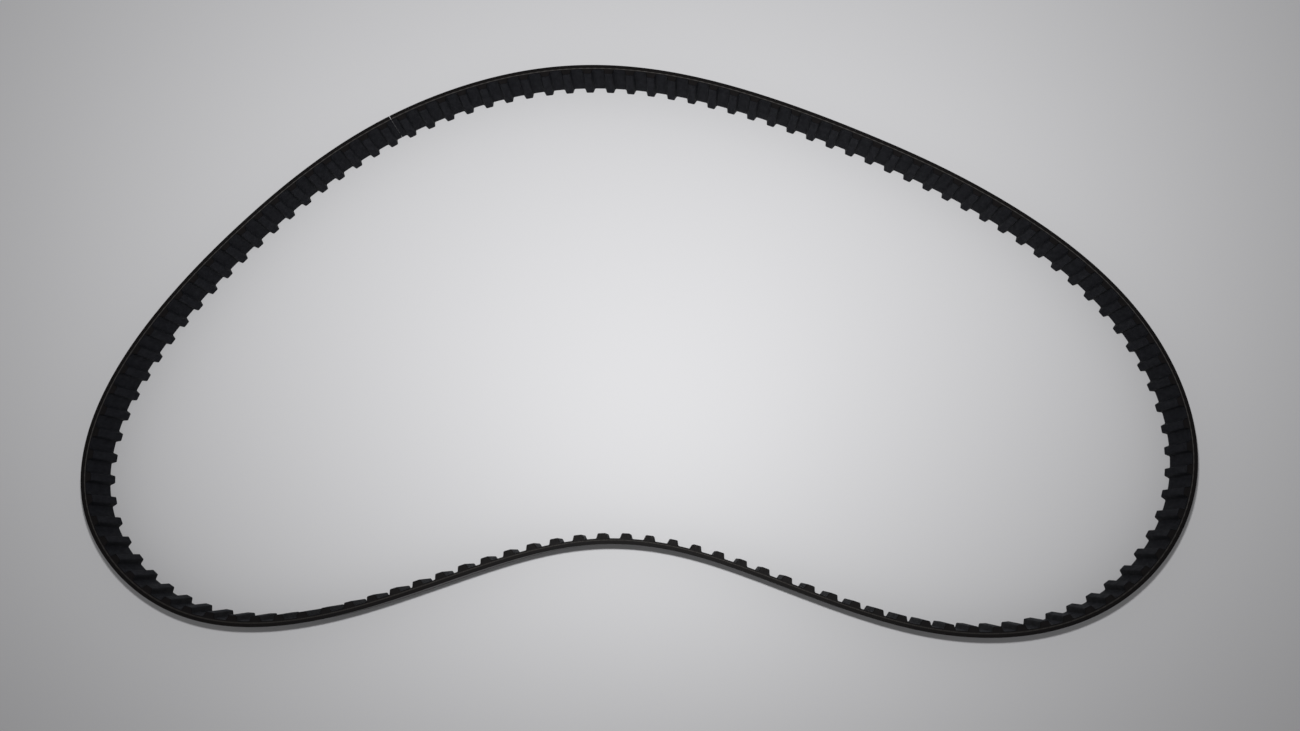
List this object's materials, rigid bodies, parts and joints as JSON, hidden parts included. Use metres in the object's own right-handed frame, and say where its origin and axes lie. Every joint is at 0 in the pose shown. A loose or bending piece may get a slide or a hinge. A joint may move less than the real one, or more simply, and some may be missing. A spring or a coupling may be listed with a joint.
{
  "type": "timing belt",
  "caption": "Endless toothed timing belt with trapezoidal teeth inside, lying on its edge in a slack bean-shaped loop that flexes.",
  "frame": {"origin": "centre of the loop's bounding box, on the surface that the belt's lower edge rests on", "axes": "+X along the loop's longest extent, +Z across the belt's width, up from the lower edge"},
  "size_m": [0.4575, 0.2592, 0.018],
  "materials": {
    "backing_rubber": "satin, ground",
    "tensile_cord": "matt twisted glass fibre",
    "tooth_rubber": "matt cut edge",
    "facing_fabric": "matt woven nylon"
  },
  "bodies": {
    "span_01": {"backing_01": "backing_rubber", "cord_layer_01": "tensile_cord", "tooth_rubber_01": "tooth_rubber", "tooth_facing_01": "facing_fabric"},
    "span_02": {"backing_02": "backing_rubber", "cord_layer_02": "tensile_cord", "tooth_rubber_02": "tooth_rubber", "tooth_facing_02": "facing_fabric"},
    "span_03": {"backing_03": "backing_rubber", "cord_layer_03": "tensile_cord", "tooth_rubber_03": "tooth_rubber", "tooth_facing_03": "facing_fabric"},
    "span_04": {"backing_04": "backing_rubber", "cord_layer_04": "tensile_cord", "tooth_rubber_04": "tooth_rubber", "tooth_facing_04": "facing_fabric"},
    "span_05": {"backing_05": "backing_rubber", "cord_layer_05": "tensile_cord", "tooth_rubber_05": "tooth_rubber", "tooth_facing_05": "facing_fabric"},
    "span_06": {"backing_06": "backing_rubber", "cord_layer_06": "tensile_cord", "tooth_rubber_06": "tooth_rubber", "tooth_facing_06": "facing_fabric"},
    "span_07": {"backing_07": "backing_rubber", "cord_layer_07": "tensile_cord", "tooth_rubber_07": "tooth_rubber", "tooth_facing_07": "facing_fabric"},
    "span_08": {"backing_08": "backing_rubber", "cord_layer_08": "tensile_cord", "tooth_rubber_08": "tooth_rubber", "tooth_facing_08": "facing_fabric"},
    "span_09": {"backing_09": "backing_rubber", "cord_layer_09": "tensile_cord", "tooth_rubber_09": "tooth_rubber", "tooth_facing_09": "facing_fabric"},
    "span_10": {"backing_10": "backing_rubber", "cord_layer_10": "tensile_cord", "tooth_rubber_10": "tooth_rubber", "tooth_facing_10": "facing_fabric"},
    "span_11": {"backing_11": "backing_rubber", "cord_layer_11": "tensile_cord", "tooth_rubber_11": "tooth_rubber", "tooth_facing_11": "facing_fabric"}
  },
  "joints": [
    {"name": "bend_01_02", "type": "hinge", "parent": "span_02", "child": "span_01", "pos_m": [-0.18033, 0.04943, 0.009], "axis": [0, 0, -1], "range_deg": [-14.4, 14.4], "stiffness_Nm_per_rad": 0.01},
    {"name": "bend_02_03", "type": "hinge", "parent": "span_03", "child": "span_02", "pos_m": [-0.22705, -0.04092, 0.009], "axis": [0, 0, -1], "range_deg": [-9.7, 9.7], "stiffness_Nm_per_rad": 0.01},
    {"name": "bend_03_04", "type": "hinge", "parent": "span_04", "child": "span_03", "pos_m": [-0.1522, -0.10049, 0.009], "axis": [0, 0, -1], "range_deg": [-6.6, 6.6], "stiffness_Nm_per_rad": 0.01},
    {"name": "bend_04_05", "type": "hinge", "parent": "span_05", "child": "span_04", "pos_m": [-0.04945, -0.08163, 0.009], "axis": [0, 0, -1], "range_deg": [-6.6, 6.6], "stiffness_Nm_per_rad": 0.01},
    {"name": "bend_05_06", "type": "hinge", "parent": "span_06", "child": "span_05", "pos_m": [0.0515, -0.09977, 0.009], "axis": [0, 0, -1], "range_deg": [-5.7, 5.7], "stiffness_Nm_per_rad": 0.01},
    {"name": "bend_06_07", "type": "hinge", "parent": "span_06", "child": "span_07", "pos_m": [0.15117, -0.1276, 0.009], "axis": [0, 0, 1], "range_deg": [-5.5, 5.5], "stiffness_Nm_per_rad": 0.01},
    {"name": "bend_07_08", "type": "hinge", "parent": "span_07", "child": "span_08", "pos_m": [0.22604, -0.06564, 0.009], "axis": [0, 0, 1], "range_deg": [-9, 9], "stiffness_Nm_per_rad": 0.01},
    {"name": "bend_08_09", "type": "hinge", "parent": "span_08", "child": "span_09", "pos_m": [0.18857, 0.02808, 0.009], "axis": [0, 0, 1], "range_deg": [-15, 15], "stiffness_Nm_per_rad": 0.01},
    {"name": "bend_09_10", "type": "hinge", "parent": "span_09", "child": "span_10", "pos_m": [0.10337, 0.0884, 0.009], "axis": [0, 0, 1], "range_deg": [-7.9, 7.9], "stiffness_Nm_per_rad": 0.01},
    {"name": "bend_10_11", "type": "hinge", "parent": "span_10", "child": "span_11", "pos_m": [0.00602, 0.12577, 0.009], "axis": [0, 0, 1], "range_deg": [-10, 10], "stiffness_Nm_per_rad": 0.01}
  ],
  "couplings": [
    {"joint": "bend_01_02", "follows": "bend_08_09", "ratio": 0.954},
    {"joint": "bend_02_03", "follows": "bend_08_09", "ratio": 0.64},
    {"joint": "bend_03_04", "follows": "bend_08_09", "ratio": -0.437},
    {"joint": "bend_04_05", "follows": "bend_08_09", "ratio": -0.438},
    {"joint": "bend_05_06", "follows": "bend_08_09", "ratio": -0.375},
    {"joint": "bend_06_07", "follows": "bend_08_09", "ratio": -0.361},
    {"joint": "bend_07_08", "follows": "bend_08_09", "ratio": 0.596},
    {"joint": "bend_09_10", "follows": "bend_08_09", "ratio": -0.523},
    {"joint": "bend_10_11", "follows": "bend_08_09", "ratio": -0.665}
  ]
}
